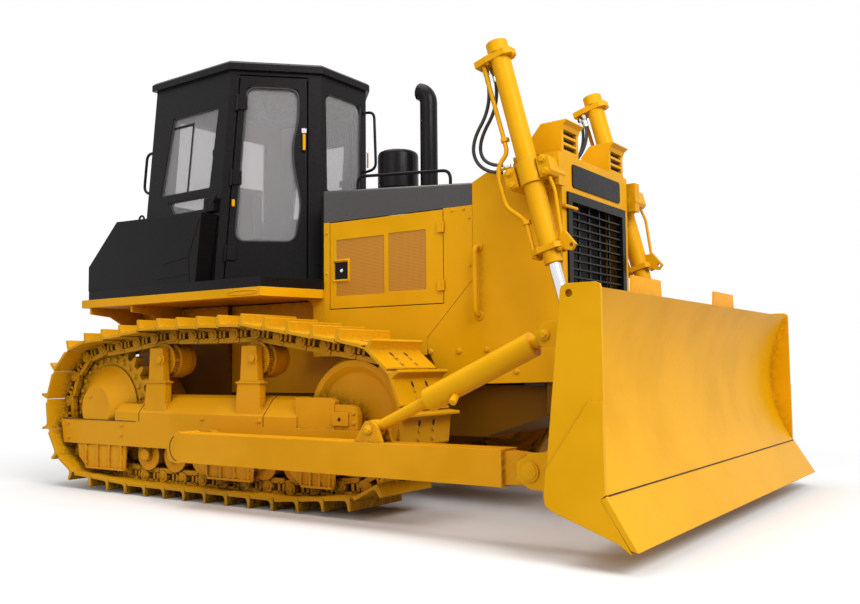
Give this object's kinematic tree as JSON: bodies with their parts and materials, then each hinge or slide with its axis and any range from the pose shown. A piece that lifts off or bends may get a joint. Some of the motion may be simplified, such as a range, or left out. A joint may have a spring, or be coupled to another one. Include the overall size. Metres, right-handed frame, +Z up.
{
  "type": "crawler dozer",
  "caption": "Yellow crawler dozer with a curved straight blade on push arms, tall lift cylinders beside the radiator guard, hooded engine, enclosed black cab and steel tracks.",
  "frame": {"origin": "on the ground under the centre of the machine's bounding box", "axes": "+X forward to the blade, +Y to the operator's left, +Z up"},
  "size_m": [5.14, 3.388, 3.145],
  "materials": {
    "yellow_paint": "semi-gloss amber yellow enamel with light dust",
    "black_paint": "semi-gloss black enamel",
    "hood_black": "satin black enamel with a grey sheen",
    "edge_paint": "amber yellow enamel, thin at the wear edge",
    "track_paint": "amber yellow enamel, slightly worn and dusty",
    "worn_steel": "dull steel with oil and dust",
    "engine_paint": "painted casting",
    "core_metal": "black radiator fins",
    "chrome_rod": "polished hard chrome",
    "glass": "grey-tinted safety glass",
    "seat_vinyl": "black seat vinyl",
    "hose_rubber": "black hydraulic hose"
  },
  "bodies": {
    "chassis": {"air_cleaner": "black_paint", "cab_floor": "black_paint", "cab_front": "black_paint", "cab_glass": "glass", "cab_rear": "black_paint", "cab_roof": "black_paint", "cab_sides": "black_paint", "carrier_rollers": "worn_steel", "controls": "black_paint", "cowl": "black_paint", "drawbar": "yellow_paint", "engine_block": "engine_paint", "equalizer_bar": "yellow_paint", "exhaust_stack": "black_paint", "fenders": "yellow_paint", "final_drives": "yellow_paint", "fuel_tank": "black_paint", "grille": "black_paint", "handrails": "black_paint", "hood_panels": "yellow_paint", "hood_top": "hood_black", "idlers": "yellow_paint", "lamp_housings": "yellow_paint", "main_frame": "yellow_paint", "radiator_core": "core_metal", "radiator_guard": "yellow_paint", "seat": "black_paint", "seat_cushions": "seat_vinyl", "sprockets": "worn_steel", "track_frame_left": "yellow_paint", "track_frame_right": "yellow_paint", "track_left": "track_paint", "track_right": "track_paint", "track_rollers": "yellow_paint", "transmission_case": "yellow_paint"},
    "blade_group": {"blade": "yellow_paint", "cutting_edge": "edge_paint", "push_arms": "yellow_paint", "blade_braces": "yellow_paint"},
    "lift_cylinder_right": {"lift_barrel_right": "yellow_paint", "hose_upper_right": "hose_rubber", "hose_lower_right": "hose_rubber"},
    "lift_cylinder_left": {"lift_barrel_left": "yellow_paint", "hose_upper_left": "hose_rubber", "hose_lower_left": "hose_rubber"},
    "lift_rod_right": {"lift_rod_right": "chrome_rod"},
    "lift_rod_left": {"lift_rod_left": "chrome_rod"},
    "cab_door_right": {"cab_door_right": "black_paint", "door_glass_right": "glass"},
    "cab_door_left": {"cab_door_left": "black_paint", "door_glass_left": "glass"},
    "engine_door_right": {"engine_door_right": "yellow_paint"},
    "engine_door_left": {"engine_door_left": "yellow_paint"}
  },
  "joints": [
    {"name": "blade_lift", "type": "hinge", "parent": "chassis", "child": "blade_group", "pos_m": [-0.607, 0, 0.384], "axis": [0, -1, 0], "range_deg": [-11, 18]},
    {"name": "cab_door_swing_right", "type": "hinge", "parent": "chassis", "child": "cab_door_right", "pos_m": [-0.9061, -0.78213, 1.5], "axis": [-0.0493, -0.0498, -0.9975], "range_deg": [0, 90]},
    {"name": "cab_door_swing_left", "type": "hinge", "parent": "chassis", "child": "cab_door_left", "pos_m": [-0.9061, 0.78213, 1.5], "axis": [0.0493, -0.0498, 0.9975], "range_deg": [0, 90]},
    {"name": "engine_door_swing_right", "type": "hinge", "parent": "chassis", "child": "engine_door_right", "pos_m": [0.823, -0.5095, 1.594], "axis": [0, 0, 1], "range_deg": [0, 90]},
    {"name": "engine_door_swing_left", "type": "hinge", "parent": "chassis", "child": "engine_door_left", "pos_m": [0.823, 0.5095, 1.594], "axis": [0, 0, -1], "range_deg": [0, 90]},
    {"name": "lift_swing_right", "type": "hinge", "parent": "chassis", "child": "lift_cylinder_right", "pos_m": [1.56007, -0.687, 2.005], "axis": [0, -1, 0], "range_deg": [-3.2, 5.1]},
    {"name": "lift_slide_right", "type": "slide", "parent": "lift_cylinder_right", "child": "lift_rod_right", "axis": [0.2559, 0, -0.9667], "range_m": [-0.8, 0.49]},
    {"name": "lift_swing_left", "type": "hinge", "parent": "chassis", "child": "lift_cylinder_left", "pos_m": [1.56007, 0.687, 2.005], "axis": [0, -1, 0], "range_deg": [-3.2, 5.1]},
    {"name": "lift_slide_left", "type": "slide", "parent": "lift_cylinder_left", "child": "lift_rod_left", "axis": [0.2559, 0, -0.9667], "range_m": [-0.8, 0.49]}
  ],
  "couplings": [
    {"joint": "lift_swing_right", "follows": "blade_lift", "ratio": 0.27},
    {"joint": "lift_slide_right", "follows": "blade_lift", "m_per_rad": -2.5},
    {"joint": "lift_swing_left", "follows": "blade_lift", "ratio": 0.27},
    {"joint": "lift_slide_left", "follows": "blade_lift", "m_per_rad": -2.5}
  ]
}
